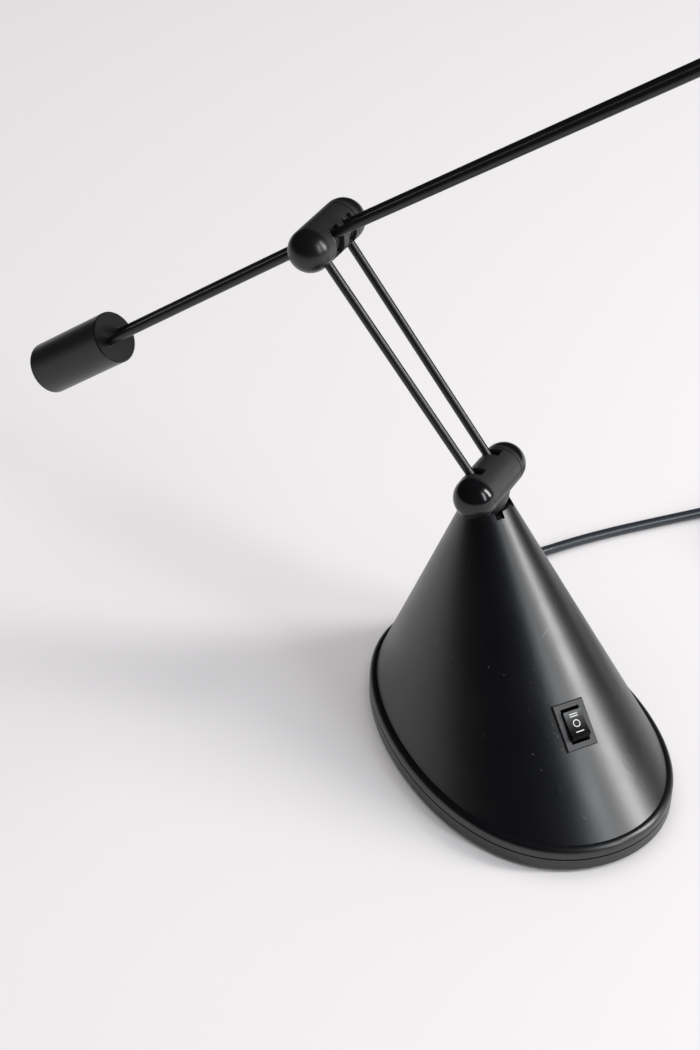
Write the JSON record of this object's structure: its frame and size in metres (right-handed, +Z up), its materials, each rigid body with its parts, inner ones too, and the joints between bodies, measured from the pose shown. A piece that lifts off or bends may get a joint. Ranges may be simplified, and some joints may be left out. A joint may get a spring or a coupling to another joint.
{
  "type": "counterweight balance desk lamp",
  "caption": "Low-voltage desk lamp: oval cone base with transformer and rocker switch, twin-rod balance arms, cylindrical counterweight, small round head.",
  "frame": {"origin": "on the table's surface, on the axis about which the neck swivels", "axes": "+Z up; the arms move in the XZ plane, the head towards +X and the counterweight towards -X; the base's long axis points 34.5 degrees from +X towards -Y"},
  "size_m": [0.4366, 0.3253, 0.4138],
  "materials": {
    "body_plastic": "satin black moulding, fine texture",
    "joint_plastic": "satin black moulding",
    "drum_plastic": "black nylon",
    "bush_nylon": "natural nylon",
    "switch_plastic": "semi-gloss black",
    "rod_paint": "satin black enamel on steel",
    "weight_paint": "satin black enamel on steel",
    "shade_paint": "satin black enamel on spun aluminium",
    "reflector_metal": "bright anodised",
    "foot_rubber": "matt",
    "cord_rubber": "glossy black flex",
    "plug_rubber": "satin",
    "steel": "plain zinc-plated steel",
    "laminations": "varnished steel sheet",
    "contact_brass": "plain",
    "winding_copper": "enamelled copper wire",
    "bobbin_plastic": "cream nylon",
    "lead_plastic": "brown and blue insulation, here one colour",
    "ceramic": "unglazed",
    "bulb_glass": "clear quartz",
    "cover_glass": "clear tempered",
    "pin_metal": "nickel-plated brass"
  },
  "bodies": {
    "base": {"base_shell": "body_plastic", "base_plate": "body_plastic", "rubber_feet": "foot_rubber", "plate_screws": "steel", "switch_body": "switch_plastic", "switch_terminals": "contact_brass", "transformer_core": "laminations", "transformer_bobbin": "bobbin_plastic", "transformer_windings": "winding_copper", "transformer_bracket": "steel", "bracket_screws": "steel", "terminal_block": "bobbin_plastic", "terminal_screws": "contact_brass", "cord_boot": "plug_rubber", "swivel_plate": "steel", "swivel_screws": "steel", "swivel_bush": "bush_nylon", "mains_leads": "lead_plastic", "secondary_leads": "lead_plastic", "mains_cord": "cord_rubber", "cord_coil": "cord_rubber", "cord_tail": "cord_rubber", "cord_tie": "drum_plastic", "mains_plug": "plug_rubber", "plug_pins": "pin_metal"},
    "rocker": {"switch_rocker": "switch_plastic"},
    "neck": {"neck_and_lower_sleeve": "joint_plastic", "lower_joint_cap": "joint_plastic", "lower_contact_springs": "steel", "swivel_washer": "steel", "swivel_nut": "steel"},
    "lower_arm": {"lower_joint_drum": "drum_plastic", "lower_contact_rings": "contact_brass", "lower_rod_near": "rod_paint", "lower_rod_far": "rod_paint", "upper_joint_sleeve": "joint_plastic", "upper_joint_cap": "joint_plastic", "upper_contact_springs": "steel"},
    "upper_arm": {"upper_joint_drum": "drum_plastic", "upper_contact_rings": "contact_brass", "upper_rod_near": "rod_paint", "upper_rod_far": "rod_paint", "counterweight": "weight_paint", "weight_bushes": "drum_plastic", "weight_grub_screw": "steel", "head_joint_sleeve": "joint_plastic", "head_joint_cap": "joint_plastic", "head_contact_springs": "steel"},
    "head": {"head_joint_drum": "drum_plastic", "head_contact_rings": "contact_brass", "head_stem": "rod_paint", "head_leads": "lead_plastic", "shade": "shade_paint", "reflector": "reflector_metal", "lamp_holder": "ceramic", "halogen_bulb": "bulb_glass", "cover_glass": "cover_glass", "glass_ring": "shade_paint"}
  },
  "joints": [
    {"name": "base_swivel", "type": "hinge", "parent": "base", "child": "neck", "pos_m": [0, 0, 0.1], "axis": [0, 0, 1], "range_deg": [-165, 165]},
    {"name": "lower_tilt", "type": "hinge", "parent": "neck", "child": "lower_arm", "pos_m": [0, 0, 0.1233], "axis": [0, 1, 0], "range_deg": [-3, 25]},
    {"name": "upper_tilt", "type": "hinge", "parent": "lower_arm", "child": "upper_arm", "pos_m": [-0.08277, 0, 0.22264], "axis": [0, 1, 0], "range_deg": [-2, 45]},
    {"name": "head_tilt", "type": "hinge", "parent": "upper_arm", "child": "head", "pos_m": [0.15619, 0, 0.40402], "axis": [0, 1, 0], "range_deg": [-80, 5]},
    {"name": "switch_rock", "type": "hinge", "parent": "base", "child": "rocker", "pos_m": [0.06776, -0.04657, 0.04623], "axis": [0.5664, 0.8241, 0], "range_deg": [-4, 18]}
  ]
}
